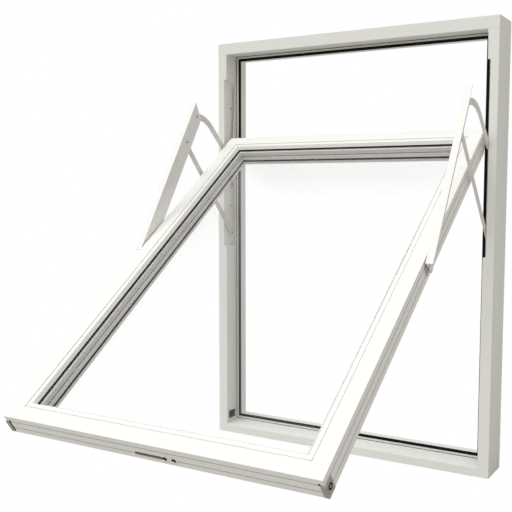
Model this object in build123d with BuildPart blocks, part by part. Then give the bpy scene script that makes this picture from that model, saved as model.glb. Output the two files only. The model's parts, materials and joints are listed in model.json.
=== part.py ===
"""Pivot window: a deep frame, a triple glazed sash and the folding arms that carry it.

Millimetres, +Z up, the outer face of the frame towards -Y. The origin is the centre of the
frame's underside. The sash stands open, as wide as its arms let it go. In the linkage, a point is
a pair: how far it lies behind the frame's outer face, and its height over the underside.
"""
import math
import os

from build123d import *

# Frame
frame_width = 850.0
frame_height = 1200.0
frame_depth = 110.0
jamb_face = 29.7
head_face = 33.0
sill_face = 24.0
sill_slope = 7.5
arris = 1.2
stop_back = 56.0
stop_depth = 27.0
jamb_stop = 16.0
head_stop_drop = 14.5
sill_stop_rise = 15.6
side_groove = 1.2
side_groove_behind = 78.0

# Weather gasket on the stops
seal_width = 8.0
seal_height = 3.0
seal_edge = 0.6

# Sash
sash_side_gap = 6.7
sash_head_gap = 6.0
sash_lift = 35.0
sash_proud = 3.0
rim_thickness = 50.0
rim_width = 23.0
body_thickness = 62.0
flat_width = 34.0
face_line_width = 3.5
face_line_depth = 3.0
lip_step = 0.8
lip_width = 47.0
sight_width = 52.0
lip_depth = 10.5
bead_width = 57.0
rebate_width = 45.0
edge_groove = 1.6
edge_groove_first = 15.0
edge_groove_second = 34.0
swing_bevel_height = 40.0
swing_bevel_depth = 20.0

# Glazing
glazing_seal = 2.5
glass_thickness = 4.0
pane_space = 12.0
glass_edge_gap = 2.0
seal_show = 7.0

# Open sash: its tilt from upright, and how far its guide pins have come down and out
sash_tilt = 54.85
guide_drop = 260.0
guide_shift = 12.0

# Linkage
guide_pin_down = 21.0
guide_pin_back = 30.0
sash_pin_below = 505.0
sash_pin_back = 23.0
arm_foot_below = 10.0
arm_foot_back = 35.0
bar_lever = 355.0
bar_pin_gap = 90.0
upper_arm_set = 205.0

# Arms, pins and cover bars
lower_arm_width = 16.0
upper_arm_width = 17.0
upper_arm_bow = 24.0
upper_arm_hook = 88.0
arm_thickness = 2.5
arm_gap = 1.1
pin_radius = 4.0
pin_play = 0.3
guide_roller_radius = 14.0
guide_plate_width = 14.0
guide_plate_above = 8.0
guide_plate_below = 20.0
bar_sheet = 2.0
bar_flange_width = 17.0
bar_depth = 46.0
bar_front = 22.5
bar_top = 32.0
bar_foot = 5.0
bar_top_slope = 27.0
bar_sash_gap = 3.4
rivet_radius = 6.0
rivet_height = 1.0
bracket_sheet = 2.0
bracket_width = 26.0
bracket_above = 20.0
bracket_below = 17.0

# Pivot plates in the pockets of the jambs, and guide rails
plate_floor = 18.5
plate_sheet = 2.0
plate_back = 62.0
plate_below = 40.0
plate_above = 12.0
plate_corner = 52.0
rail_sheet = 1.4
rail_back = 68.0
rail_play = 1.6
rail_margin = 18.0

# Keepers, sash corner pieces, lock and handle
keeper_depth = 30.0
keeper_height = 22.0
keeper_sheet = 3.0
keeper_back = 10.0
keeper_foot = 41.0
corner_height = 24.0
corner_foot = 8.0
corner_sheet = 2.2
corner_back = 15.0
corner_width = 32.0
corner_boss_up = 11.0
corner_boss_radius = 10.5
corner_boss_height = 0.8
lock_across = 12.0
lock_length = 112.0
lock_width = 16.0
lock_sheet = 2.0
lock_back = 27.0
stud_radius = 3.0
stud_length = 3.5
stud_spacing = 22.0
stud_inset = 9.0
handle_across = 25.0
handle_up = 34.0
handle_rose_width = 22.0
handle_rose_length = 34.0
handle_rose_sheet = 5.0
handle_neck = 14.0
handle_reach = 24.0
handle_length = 105.0
handle_grip = 12.0

SIDES = {"left": -1, "right": 1}
front = -frame_depth / 2
half_width = frame_width / 2
clear_top = frame_height - head_face
sash_side = jamb_face + sash_side_gap
sash_half = half_width - sash_side
sash_height = clear_top - sash_head_gap - sash_lift
tilt = math.radians(sash_tilt)


def moved(point, step, scale=1.0):
    """A point, moved by a step times scale."""
    return point[0] + step[0] * scale, point[1] + step[1] * scale


def span(start, end):
    """The step from one point to another, and its length."""
    step = (end[0] - start[0], end[1] - start[1])
    return step, math.hypot(*step)


def turned(step, angle):
    """A step, turned by angle radians so that its top goes towards the room."""
    back, up = step
    return back * math.cos(angle) + up * math.sin(angle), up * math.cos(angle) - back * math.sin(angle)


def scaled(step, length):
    """A step of the given length in the same direction."""
    return moved((0, 0), step, length / math.hypot(*step))


def lean(start, end):
    """How far a line leans out from upright, in radians."""
    back, up = span(start, end)[0]
    return math.atan2(-back, up)


def circles_meet(first, first_radius, second, second_radius):
    """The higher of the two points at these distances from two others."""
    (across, rise), gap = span(first, second)
    along = (first_radius**2 - second_radius**2 + gap**2) / (2 * gap)
    aside = math.sqrt(first_radius**2 - along**2)
    foot = moved(first, (across / gap, rise / gap), along)
    upward = math.copysign(1, across)
    return moved(foot, (-rise / gap * upward, across / gap * upward), aside)


# Closed window: both pins of the bar stand upright over the sash pin
guide_pin_up = sash_height - guide_pin_down
sash_pin_up = guide_pin_up - sash_pin_below
guide_pin_closed = (guide_pin_back - sash_proud, sash_lift + guide_pin_up)
sash_pin_closed = (sash_pin_back - sash_proud, sash_lift + sash_pin_up)
lower_pin_closed = moved(sash_pin_closed, (0, bar_lever))
upper_pin_closed = moved(lower_pin_closed, (0, bar_pin_gap))
arm_foot = (arm_foot_back, sash_pin_closed[1] - arm_foot_below)
lower_arm_length = span(arm_foot, lower_pin_closed)[1]

# Open window: the pins where the sash stands tilted
guide_pin = moved(guide_pin_closed, (-guide_shift, -guide_drop))
sash_edge = moved(guide_pin, turned((-guide_pin_back, -guide_pin_up), tilt))
sash_pin = moved(sash_edge, turned((sash_pin_back, sash_pin_up), tilt))
lower_pin = circles_meet(sash_pin, bar_lever, arm_foot, lower_arm_length)
bar_step = span(sash_pin, lower_pin)[0]
bar_lean = -lean(sash_pin, lower_pin)
upper_pin = moved(lower_pin, scaled(bar_step, bar_pin_gap))

# The upper arm turns about a point that is as far from its open pin as from its closed pin
pin_travel = span(upper_pin_closed, upper_pin)[0]
travel_middle = moved(upper_pin_closed, pin_travel, 0.5)
arm_head = moved(travel_middle, scaled((-pin_travel[1], pin_travel[0]), upper_arm_set))
upper_arm_length = span(arm_head, upper_pin)[1]
upper_start = lean(arm_head, upper_pin_closed)
upper_swing = lean(arm_head, upper_pin) - upper_start
lower_swing = lean(arm_foot, lower_pin) - lean(arm_foot, lower_pin_closed)


def guide_path(share):
    """Where the guide pin is when the window is open by this share of its travel."""
    swing = upper_start + share * upper_swing
    top = moved(arm_head, (-math.sin(swing), math.cos(swing)), upper_arm_length)
    foot = moved(top, turned((0, -bar_lever - bar_pin_gap), share * bar_lean))
    return moved(foot, turned((guide_pin_back - sash_pin_back, sash_pin_below), share * tilt))


# Layers of the linkage, measured in from the outer side of the jamb
upper_arm_layer = plate_floor + plate_sheet + arm_gap
lower_arm_layer = upper_arm_layer + arm_thickness + arm_gap
rail_layer = jamb_face - rail_sheet
web_end = sash_side - bar_sash_gap
web_start = web_end - bar_sheet
bracket_start = sash_side - bracket_sheet
plate_low = arm_foot[1] - plate_below
plate_high = upper_pin_closed[1] + plate_above
rail_low = guide_pin[1] - rail_margin
rail_high = guide_pin_closed[1] + rail_margin

# Layers of the sash, measured back from its outer face
glass_front = lip_depth + glazing_seal
glass_back = glass_front + 3 * glass_thickness + 2 * pane_space
bead_front = glass_back + glazing_seal
glass_inset = rebate_width + glass_edge_gap
seal_inset = sight_width + seal_show


def at(point):
    """A linkage point in a (Y, Z) plane."""
    return front + point[0], point[1]


def layer(side, start, end):
    """The (Y, Z) plane at the low end of a layer, given from the outer side of the jamb."""
    return Plane.YZ.offset(half_width - end if side > 0 else start - half_width)


sash_plane = Plane(
    origin=(0, front + sash_edge[0], sash_edge[1]),
    x_dir=(1, 0, 0),
    z_dir=(0, -math.cos(tilt), math.sin(tilt)),
)


def side_block(side, start, end, back, up, mode=Mode.ADD):
    """A block beside a jamb, given by its layer and its (low, high) spans back and up."""
    with BuildSketch(layer(side, start, end)) as outline:
        with Locations(at((sum(back) / 2, sum(up) / 2))):
            Rectangle(back[1] - back[0], up[1] - up[0])
    extrude(outline.sketch, amount=end - start, mode=mode)


def pocket_block(side, start, end, mode=Mode.ADD):
    """A block in the outline of the jamb's pocket, round at the top towards the room."""
    with BuildSketch(layer(side, start, end)) as outline:
        with Locations(at((plate_back / 2, (plate_low + plate_high) / 2))):
            Rectangle(plate_back, plate_high - plate_low)
        fillet(outline.vertices().group_by(Axis.Y)[-1].sort_by(Axis.X)[-1], plate_corner)
    extrude(outline.sketch, amount=end - start, mode=mode)


def side_disc(side, start, end, point, radius, mode=Mode.ADD):
    """A round pin, head or hole in a layer beside a jamb."""
    with BuildSketch(layer(side, start, end)) as outline:
        with Locations(at(point)):
            Circle(radius)
    extrude(outline.sketch, amount=end - start, mode=mode)


def sash_block(across, up, back, mode=Mode.ADD):
    """A block of the sash, given by its (low, high) spans across, up and behind the outer face."""
    with BuildSketch(sash_plane.offset(-back[1])) as outline:
        with Locations((sum(across) / 2, sum(up) / 2)):
            Rectangle(across[1] - across[0], up[1] - up[0])
    extrude(outline.sketch, amount=back[1] - back[0], mode=mode)


def sash_ring(outer, inner, back):
    """A ring round the sash between two insets from its outer edges."""
    sash_block((outer - sash_half, sash_half - outer), (outer, sash_height - outer), back)
    sash_block((inner - sash_half, sash_half - inner), (inner, sash_height - inner), back, Mode.SUBTRACT)


# Frame
stop_half = half_width - jamb_face - jamb_stop
sill_back_height = sill_face + stop_back * math.tan(math.radians(sill_slope))
stop_low = sill_back_height + sill_stop_rise
stop_high = clear_top - head_stop_drop


def frame_jamb(side):
    """A jamb, full height under the head, with the pocket for the folded arms."""
    with BuildPart() as jamb:
        side_block(side, 0, jamb_face, (0, frame_depth), (0, clear_top))
        fillet(jamb.edges().filter_by(Axis.Z).sort_by(Axis.Y)[:2], arris)
        pocket_block(side, plate_floor, jamb_face, Mode.SUBTRACT)
        side_block(side, rail_layer, jamb_face, (0, rail_back), (rail_low, rail_high), Mode.SUBTRACT)
        groove = (side_groove_behind, side_groove_behind + side_groove)
        side_block(side, 0, side_groove, groove, (0, clear_top), Mode.SUBTRACT)
    return jamb


def jamb_stop_strip(side):
    """The stop along a jamb, from the sill to the head."""
    with BuildPart() as strip:
        back = (stop_back, stop_back + stop_depth)
        side_block(side, jamb_face, jamb_face + jamb_stop, back, (sill_back_height, clear_top))
    return strip


def cross_stop(low, high):
    """The stop along the head or the sill, between the stops of the jambs."""
    with BuildPart() as strip:
        with BuildSketch(Plane.XY.offset(low)):
            with Locations((0, front + stop_back + stop_depth / 2)):
                Rectangle(2 * stop_half, stop_depth)
        extrude(amount=high - low)
    return strip


with BuildPart() as head_rail:
    with BuildSketch(Plane.XY.offset(clear_top)):
        Rectangle(frame_width, frame_depth)
    extrude(amount=head_face)
    fillet(head_rail.edges().filter_by(Axis.X).sort_by(Axis.Y)[:2], arris)

with BuildPart() as sill_rail:
    with BuildSketch(Plane.YZ.offset(jamb_face - half_width)):
        with BuildLine():
            Polyline((front, 0), (front, sill_face), (front + stop_back, sill_back_height),
                     (-front, sill_back_height), (-front, 0), close=True)
        make_face()
    extrude(amount=frame_width - 2 * jamb_face)
    fillet(sill_rail.edges().filter_by(Axis.X).sort_by(Axis.Y)[:2], arris)

with BuildPart() as frame_gasket:
    with BuildSketch(Plane.XZ.offset(-front - stop_back)):
        with Locations((0, (stop_low + stop_high) / 2)):
            seal_outer = 2 * (seal_width - seal_edge)
            Rectangle(2 * stop_half + seal_outer, stop_high - stop_low + seal_outer)
            Rectangle(2 * (stop_half - seal_edge), stop_high - stop_low - 2 * seal_edge, mode=Mode.SUBTRACT)
    extrude(amount=seal_height)


# Pivot plates, guide rails and keepers
def pivot_plate(side):
    """The sheet that lines the pocket, with the two pins that the arms turn on."""
    floor_end = plate_floor + plate_sheet
    with BuildPart() as plate:
        pocket_block(side, plate_floor, floor_end)
        back = (plate_back - plate_sheet, plate_back)
        side_block(side, floor_end, rail_layer, back, (plate_low, plate_high - plate_corner))
        side_disc(side, floor_end, lower_arm_layer + arm_thickness, arm_foot, pin_radius)
        side_disc(side, floor_end, upper_arm_layer + arm_thickness, arm_head, pin_radius)
    return plate


def guide_rail(side):
    """The strip behind the guide roller, its front edge cut to the roller's path."""
    slack = (guide_roller_radius + rail_play, 0)
    path = [at(moved(guide_path(1 - step / 6), slack)) for step in range(7)]
    back = front + rail_back
    with BuildPart() as rail:
        with BuildSketch(layer(side, rail_layer, jamb_face)):
            with BuildLine():
                Spline(*path)
                Polyline(path[-1], (path[-1][0], rail_high), (back, rail_high), (back, rail_low),
                         (path[0][0], rail_low), path[0])
            make_face()
        extrude(amount=rail_sheet)
    return rail


with BuildPart() as keepers:
    for side in SIDES.values():
        back = (keeper_back, keeper_back + keeper_depth)
        keeper_up = (keeper_foot, keeper_foot + keeper_height)
        side_block(side, jamb_face, jamb_face + keeper_sheet, back, keeper_up)


# Sash rails: a rail is drawn in section, going in from the sash's outer edge
def rail_section():
    """Corners of a rail's section: across from its outer edge, and towards the outer face."""
    grooves = []
    for place in (edge_groove_second, edge_groove_first):
        back = place + edge_groove
        grooves += [(0, -back), (edge_groove, -back), (edge_groove, -place), (0, -place)]
    line_end = flat_width + face_line_width
    face = [(0, 0), (flat_width, 0), (flat_width, -face_line_depth), (line_end, -face_line_depth),
            (line_end, -lip_step), (lip_width, -lip_step), (sight_width, -lip_depth)]
    body = [(rebate_width, -lip_depth), (rebate_width, -body_thickness), (rim_width, -body_thickness),
            (rim_width, -rim_thickness), (0, -rim_thickness)]
    return face + body + grooves


def swing_bevel():
    """The slope across the back of the sash's top, which lets it pass the stops."""
    low = sash_height - swing_bevel_height
    corners = [(rim_thickness - swing_bevel_depth, sash_height), (rim_thickness, low),
               (frame_depth, low), (frame_depth, sash_height)]
    with BuildSketch(Plane.YZ.offset(-half_width)) as outline:
        with BuildLine():
            Polyline(*[at(moved(sash_edge, turned(corner, tilt))) for corner in corners], close=True)
        make_face()
    extrude(outline.sketch, amount=frame_width, mode=Mode.SUBTRACT)


def sash_rail(inward, edge, length):
    """A mitred rail of the sash: which way in, the middle of its outer edge, and its length."""
    inward_dir = sash_plane.x_dir * inward[0] + sash_plane.y_dir * inward[1]
    section = Plane(origin=sash_plane.from_local_coords((*edge, 0)), x_dir=inward_dir,
                    z_dir=inward_dir.cross(sash_plane.z_dir))
    along = (inward[1] * length / 2, -inward[0] * length / 2)
    inner = moved(edge, inward, sight_width)
    shorter = 1 - 2 * sight_width / length
    with BuildPart() as rail:
        with BuildSketch(section):
            with BuildLine():
                Polyline(*rail_section(), close=True)
            make_face()
        extrude(amount=length / 2, both=True)
        with BuildSketch(sash_plane.offset(-body_thickness)):
            with BuildLine():
                Polyline(moved(edge, along), moved(edge, along, -1), moved(inner, along, -shorter),
                         moved(inner, along, shorter), close=True)
            make_face()
        extrude(amount=body_thickness, mode=Mode.INTERSECT)
    return rail


sash_stiles = {}
for word, side in SIDES.items():
    sash_stiles[word] = sash_rail((-side, 0), (side * sash_half, sash_height / 2), sash_height)
sash_top_rail = sash_rail((0, -1), (0, sash_height), 2 * sash_half)
sash_bottom_rail = sash_rail((0, 1), (0, 0), 2 * sash_half)
for rail in (*sash_stiles.values(), sash_top_rail):
    with rail:
        swing_bevel()

lock_span = (lock_across - lock_length / 2, lock_across + lock_length / 2)
with sash_bottom_rail:
    sash_block(lock_span, (0, lock_sheet), (lock_back, lock_back + lock_width), Mode.SUBTRACT)

with BuildPart() as lock_case:
    sash_block(lock_span, (0, lock_sheet), (lock_back, lock_back + lock_width))
    for stud in range(2):
        across = lock_span[1] - stud_inset - stud * stud_spacing
        middle = lock_back + lock_width / 2
        sash_block((across - stud_radius, across + stud_radius), (-stud_length, 0),
                   (middle - stud_radius, middle + stud_radius))


# Glazing: beads, panes, spacers and gaskets
def glazing_bead(across, up):
    """A square bead on the room side, which holds the glass."""
    with BuildPart() as bead:
        sash_block(across, up, (bead_front, body_thickness))
    return bead


def pane(back):
    """A pane that starts this far behind the sash's outer face."""
    with BuildPart() as glass:
        inset = (glass_inset - sash_half, sash_half - glass_inset)
        sash_block(inset, (glass_inset, sash_height - glass_inset), (back, back + glass_thickness))
    return glass


def spacer(back):
    """The ring that keeps two panes apart."""
    with BuildPart() as ring:
        sash_ring(glass_inset, seal_inset, (back, back + pane_space))
    return ring


def glazing_gasket(back):
    """The black seal between the glass and the rail or the bead."""
    with BuildPart() as seal:
        sash_ring(glass_inset, seal_inset, (back, back + glazing_seal))
    return seal


bead_out = sash_half - rebate_width
bead_in = sash_half - bead_width
full_up = (rebate_width, sash_height - rebate_width)
pane_pitch = glass_thickness + pane_space


# Sash fittings
def corner_piece(side):
    """The angle that wraps a lower corner of the sash, with a round boss on its side."""
    boss = moved(sash_edge, turned((corner_back + corner_width / 2, corner_boss_up), tilt))
    outer = sash_half + corner_sheet
    with BuildPart() as corner:
        back = (corner_back, corner_back + corner_width)
        upright = sorted((side * sash_half, side * outer))
        foot = sorted((side * (sash_half - corner_foot), side * outer))
        sash_block(upright, (0, corner_height), back)
        sash_block(foot, (-corner_sheet, 0), back)
        boss_end = sash_side - corner_sheet
        side_disc(side, boss_end - corner_boss_height, boss_end, boss, corner_boss_radius)
    return corner


def guide_shoe(side):
    """A plate high on the sash's side, with the roller that runs along the guide rail."""
    with BuildPart() as shoe:
        across = sorted((side * sash_half, side * (sash_half + bracket_sheet)))
        half = guide_plate_width / 2
        sash_block(across, (guide_pin_up - guide_plate_below, guide_pin_up + guide_plate_above),
                   (guide_pin_back - half, guide_pin_back + half))
        side_disc(side, rail_layer + pin_play, jamb_face, guide_pin, guide_roller_radius)
        side_disc(side, jamb_face, bracket_start, guide_pin, pin_radius)
    return shoe


def bar_bracket(side):
    """The plate on the sash's side that the cover bar turns on, with its pin."""
    with BuildPart() as bracket:
        across = sorted((side * sash_half, side * (sash_half + bracket_sheet)))
        sash_block(across, (sash_pin_up - bracket_below, sash_pin_up + bracket_above),
                   (sash_pin_back - bracket_width / 2, sash_pin_back + bracket_width / 2))
        side_disc(side, web_start, bracket_start, sash_pin, pin_radius)
    return bracket


with BuildPart() as window_handle:
    rose_across = (handle_across - handle_rose_width / 2, handle_across + handle_rose_width / 2)
    neck_start = handle_across - handle_neck / 2
    neck_up = (handle_up - handle_neck / 2, handle_up + handle_neck / 2)
    grip_up = (handle_up - handle_rose_width / 2, handle_up + handle_rose_width / 2)
    rose_end = body_thickness + handle_rose_sheet
    neck_end = body_thickness + handle_reach
    sash_block(rose_across, (rim_width, rim_width + handle_rose_length), (body_thickness, rose_end))
    sash_block((neck_start, neck_start + handle_neck), neck_up, (rose_end, neck_end))
    sash_block((neck_start, neck_start + handle_length), grip_up, (neck_end, neck_end + handle_grip))


# Arms and cover bars
def arm_hole(side, start, pin):
    """The hole for a pin at an end of an arm."""
    side_disc(side, start, start + arm_thickness, pin, pin_radius + pin_play, Mode.SUBTRACT)


def lower_arm(side):
    """The straight arm, with the stud that stays beside the cover bar's lower rivet."""
    middle = moved(arm_foot, span(arm_foot, lower_pin)[0], 0.5)
    arm_end = lower_arm_layer + arm_thickness
    with BuildPart() as arm:
        with BuildSketch(layer(side, lower_arm_layer, arm_end)):
            SlotCenterPoint(at(middle), at(lower_pin), lower_arm_width)
        extrude(amount=arm_thickness)
        arm_hole(side, lower_arm_layer, arm_foot)
        side_disc(side, arm_end, web_start - pin_play, lower_pin, pin_radius)
    return arm


def upper_arm(side):
    """The hooked arm: straight from the pivot plate, then bent down to the cover bar's upper rivet."""
    step = span(arm_head, upper_pin)[0]
    bend = moved(upper_pin, scaled(step, -upper_arm_hook))
    knee = moved(bend, scaled(turned(step, math.pi / 2), upper_arm_bow))
    with BuildPart() as arm:
        with BuildSketch(layer(side, upper_arm_layer, upper_arm_layer + arm_thickness)):
            with BuildLine():
                straight = Line(at(arm_head), at(knee))
                TangentArc(at(knee), at(upper_pin), tangent=straight % 1)
            trace(line_width=upper_arm_width)
            with Locations(at(arm_head), at(upper_pin)):
                Circle(upper_arm_width / 2)
        extrude(amount=arm_thickness)
        for pin in (arm_head, upper_pin):
            arm_hole(side, upper_arm_layer, pin)
    return arm


bar_up = scaled(bar_step, 1)
bar_out = turned(bar_up, -math.pi / 2)


def bar_place(out, up):
    """A point of the cover bar: out from its line of pins, and up from the sash pin."""
    return at(moved(moved(sash_pin, bar_up, up), bar_out, out))


def bar_plate(side, start, end, corners):
    """A flat part of the cover bar in a layer beside the jamb."""
    with BuildSketch(layer(side, start, end)) as outline:
        with BuildLine():
            Polyline(*[bar_place(*corner) for corner in corners], close=True)
        make_face()
    extrude(outline.sketch, amount=end - start)


def cover_bar(side):
    """The angle-shaped bar that hides the pocket when the window is shut."""
    top = bar_lever + bar_pin_gap + bar_top
    rear = bar_front - bar_depth
    inner = bar_front - bar_sheet
    with BuildPart() as bar:
        bar_plate(side, web_start, web_end,
                  [(bar_front, -bar_foot), (bar_front, top), (rear, top - bar_top_slope), (rear, -bar_foot)])
        bar_plate(side, web_end - bar_flange_width, web_start,
                  [(bar_front, -bar_foot), (bar_front, top), (inner, top), (inner, -bar_foot)])
        side_disc(side, web_start, web_end, sash_pin, pin_radius + pin_play, Mode.SUBTRACT)
        side_disc(side, upper_arm_layer, web_start, upper_pin, pin_radius)
        for rivet in (lower_pin, upper_pin):
            side_disc(side, web_end, web_end + rivet_height, rivet, rivet_radius)
    return bar


# Every piece under its own name
pieces = {
    "head_rail": head_rail,
    "sill_rail": sill_rail,
    "head_stop": cross_stop(stop_high, clear_top),
    "sill_stop": cross_stop(sill_back_height, stop_low),
    "frame_gasket": frame_gasket,
    "keepers": keepers,
    "sash_top_rail": sash_top_rail,
    "sash_bottom_rail": sash_bottom_rail,
    "glazing_bead_top": glazing_bead((-bead_in, bead_in), (sash_height - bead_width, full_up[1])),
    "glazing_bead_bottom": glazing_bead((-bead_in, bead_in), (full_up[0], bead_width)),
    "glass_outer": pane(glass_front),
    "glass_middle": pane(glass_front + pane_pitch),
    "glass_inner": pane(glass_front + 2 * pane_pitch),
    "spacer_outer": spacer(glass_front + glass_thickness),
    "spacer_inner": spacer(glass_front + glass_thickness + pane_pitch),
    "glazing_gasket_outer": glazing_gasket(lip_depth),
    "glazing_gasket_inner": glazing_gasket(glass_back),
    "lock_case": lock_case,
    "window_handle": window_handle,
}
for word, side in SIDES.items():
    pieces[f"jamb_{word}"] = frame_jamb(side)
    pieces[f"stop_{word}"] = jamb_stop_strip(side)
    pieces[f"pivot_plate_{word}"] = pivot_plate(side)
    pieces[f"guide_rail_{word}"] = guide_rail(side)
    pieces[f"upper_arm_{word}"] = upper_arm(side)
    pieces[f"lower_arm_{word}"] = lower_arm(side)
    pieces[f"cover_bar_{word}"] = cover_bar(side)
    pieces[f"sash_stile_{word}"] = sash_stiles[word]
    pieces[f"glazing_bead_{word}"] = glazing_bead(sorted((side * bead_in, side * bead_out)), full_up)
    pieces[f"corner_piece_{word}"] = corner_piece(side)
    pieces[f"guide_shoe_{word}"] = guide_shoe(side)
    pieces[f"bar_bracket_{word}"] = bar_bracket(side)

os.makedirs("parts", exist_ok=True)
for name, piece in pieces.items():
    piece.part.label = name
    export_step(piece.part, f"parts/{name}.step")

joint_places = {"arm_head": arm_head, "arm_foot": arm_foot, "upper_pin": upper_pin, "sash_pin": sash_pin}
for name, pin in joint_places.items():
    print(name, "y", round(at(pin)[0], 3), "z", round(pin[1], 3))
print("upper arms", round(math.degrees(upper_swing), 3), "lower arms", round(math.degrees(lower_swing), 3),
      "cover bars", round(math.degrees(bar_lean), 3), "sash", sash_tilt)
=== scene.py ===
"""Dresses the pivot window: a finish for every CAD piece, and the small pieces that CAD leaves out.

Lengths are millimetres in the classes and metres in the meshes. The window's own frame has +Z up,
the outside towards -Y, and its origin under the middle of the frame.
"""
from __future__ import annotations

import json
import logging
import math
from dataclasses import dataclass
from enum import Enum
from typing import Any, Iterable

import bmesh
import bpy
from mathutils import Euler, Matrix, Vector

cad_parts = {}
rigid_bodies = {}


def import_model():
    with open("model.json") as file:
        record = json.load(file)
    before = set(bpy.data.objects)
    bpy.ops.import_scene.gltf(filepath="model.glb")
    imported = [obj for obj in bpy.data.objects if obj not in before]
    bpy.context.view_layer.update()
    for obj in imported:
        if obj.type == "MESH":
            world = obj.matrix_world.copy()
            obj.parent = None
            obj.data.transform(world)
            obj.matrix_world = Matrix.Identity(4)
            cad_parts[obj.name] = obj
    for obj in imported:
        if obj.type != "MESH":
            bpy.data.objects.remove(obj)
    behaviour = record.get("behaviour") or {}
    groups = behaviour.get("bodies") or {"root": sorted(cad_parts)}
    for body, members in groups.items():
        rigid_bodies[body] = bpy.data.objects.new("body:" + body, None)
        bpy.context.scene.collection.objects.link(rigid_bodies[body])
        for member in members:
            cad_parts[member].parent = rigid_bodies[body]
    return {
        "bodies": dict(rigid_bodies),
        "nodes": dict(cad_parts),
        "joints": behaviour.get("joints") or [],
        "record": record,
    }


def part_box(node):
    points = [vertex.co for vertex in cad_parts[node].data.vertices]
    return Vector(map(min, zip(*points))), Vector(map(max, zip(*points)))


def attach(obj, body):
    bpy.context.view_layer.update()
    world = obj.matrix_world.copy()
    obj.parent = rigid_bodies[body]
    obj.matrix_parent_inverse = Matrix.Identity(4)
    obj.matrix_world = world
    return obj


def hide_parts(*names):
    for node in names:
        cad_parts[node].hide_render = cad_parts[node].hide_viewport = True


log = logging.getLogger("pivot_window")
MM = 0.001
Point = tuple[float, float]
Triple = tuple[float, float, float]
ACROSS = Vector((1, 0, 0))
UPRIGHT = Vector((0, 0, 1))

# The curve between sRGB values and linear ones
SRGB_TOE = 0.04045
SRGB_SLOPE = 12.92
SRGB_OFFSET = 0.055
SRGB_POWER = 2.4
WHITE = "#FFFFFF"
# A colour Mix node repeats its sockets' names, so its two colours and its result go by number
MIX_FIRST = 6
MIX_SECOND = 7
MIX_RESULT = 2

# How finely round shapes are divided
CORNER_STEPS = 6
EDGE_STEPS = 3
TURNED_STEPS = 28
WASHER_STEPS = 32
OVAL_SIDES = 24
# Points of a turned part nearer than this, in millimetres, are one point on its axis
MERGE_DISTANCE = 1e-5
# A face whose normal has this share along local z is part of a slab's front
FRONT_FACING = 0.9


class Side(Enum):
    """The two sides of the window, seen from outside."""

    LEFT = -1
    RIGHT = 1

    @property
    def word(self) -> str:
        """The side's name, as the CAD nodes spell it."""
        return self.name.lower()


class Body(Enum):
    """The moving groups that new pieces ride on."""

    FRAME = "frame"
    COVER_BARS = "cover_bars"
    SASH = "sash"


class Slot(Enum):
    """The record's material slots, named for new pieces."""

    RUBBER = "gasket_rubber"
    ZINC = "zinc_steel"
    DARK = "dark_steel"
    HANDLE = "handle_metal"


class Turned(Enum):
    """Half sections of small turned parts, from axis to axis, as shares of radius and height."""

    SCREW = ((0.0, 0.0), (1.0, 0.0), (1.0, 0.35), (0.82, 0.85), (0.5, 1.0), (0.42, 1.0), (0.38, 0.3),
             (0.0, 0.3))
    RIVET = ((0.0, 0.0), (1.0, 0.0), (0.94, 0.4), (0.7, 0.8), (0.35, 0.97), (0.0, 1.0))
    PEG = ((0.0, 0.0), (1.0, 0.0), (1.0, 1.0), (0.0, 1.0))


def linear(colour: str) -> tuple[float, float, float, float]:
    """Turns a colour for Blender's shaders.

    Args:
        colour: An sRGB hex value such as "#F2F2F0".

    Returns:
        The linear red, green, blue and an alpha of 1.
    """
    parts = [int(colour[start:start + 2], 16) / 255 for start in (1, 3, 5)]
    low = [part / SRGB_SLOPE for part in parts]
    high = [((part + SRGB_OFFSET) / (1 + SRGB_OFFSET)) ** SRGB_POWER for part in parts]
    return (*[dim if part <= SRGB_TOE else bright for part, dim, bright in zip(parts, low, high)], 1.0)


def add_node(tree: bpy.types.NodeTree, kind: str, inputs: dict[Any, Any] | None = None,
             **settings: Any) -> bpy.types.Node:
    """Adds a shader node.

    Args:
        tree: The node tree.
        kind: The node's type name.
        inputs: A value or a socket to link, for each input's name or number.
        settings: The node's own settings.

    Returns:
        The new node.
    """
    node = tree.nodes.new(kind)
    for name, value in settings.items():
        setattr(node, name, value)
    for name, value in (inputs or {}).items():
        if isinstance(value, bpy.types.NodeSocket):
            tree.links.new(value, node.inputs[name])
        else:
            node.inputs[name].default_value = value
    return node


def cleared(owner: bpy.types.Material | bpy.types.World) -> bpy.types.NodeTree:
    """Readies a new material or world for its own nodes.

    Args:
        owner: The material or world.

    Returns:
        Its node tree, with nothing in it.
    """
    owner.use_nodes = True
    owner.node_tree.nodes.clear()
    return owner.node_tree


def either_ray(tree: bpy.types.NodeTree, one: str, other: str) -> bpy.types.NodeSocket:
    """Tells two kinds of rays from all others.

    Args:
        tree: The node tree.
        one: The Light Path node's name for the first kind.
        other: Its name for the second.

    Returns:
        1 for a ray of either kind, and 0 for the others.
    """
    path = add_node(tree, "ShaderNodeLightPath")
    either = add_node(tree, "ShaderNodeMath", {0: path.outputs[one], 1: path.outputs[other]},
                      operation="MAXIMUM")
    return either.outputs[0]


@dataclass(frozen=True)
class Surface:
    """A real material, made on its first use and shared from then on."""

    name: str

    def material(self) -> bpy.types.Material:
        """Finds the material, or makes it.

        Returns:
            The material of this name.
        """
        material = bpy.data.materials.get(self.name)
        if material is None:
            material = bpy.data.materials.new(self.name)
            self.draw(cleared(material))
        return material

    def draw(self, tree: bpy.types.NodeTree) -> None:
        """Each kind of surface draws its own nodes here."""
        raise NotImplementedError


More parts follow.
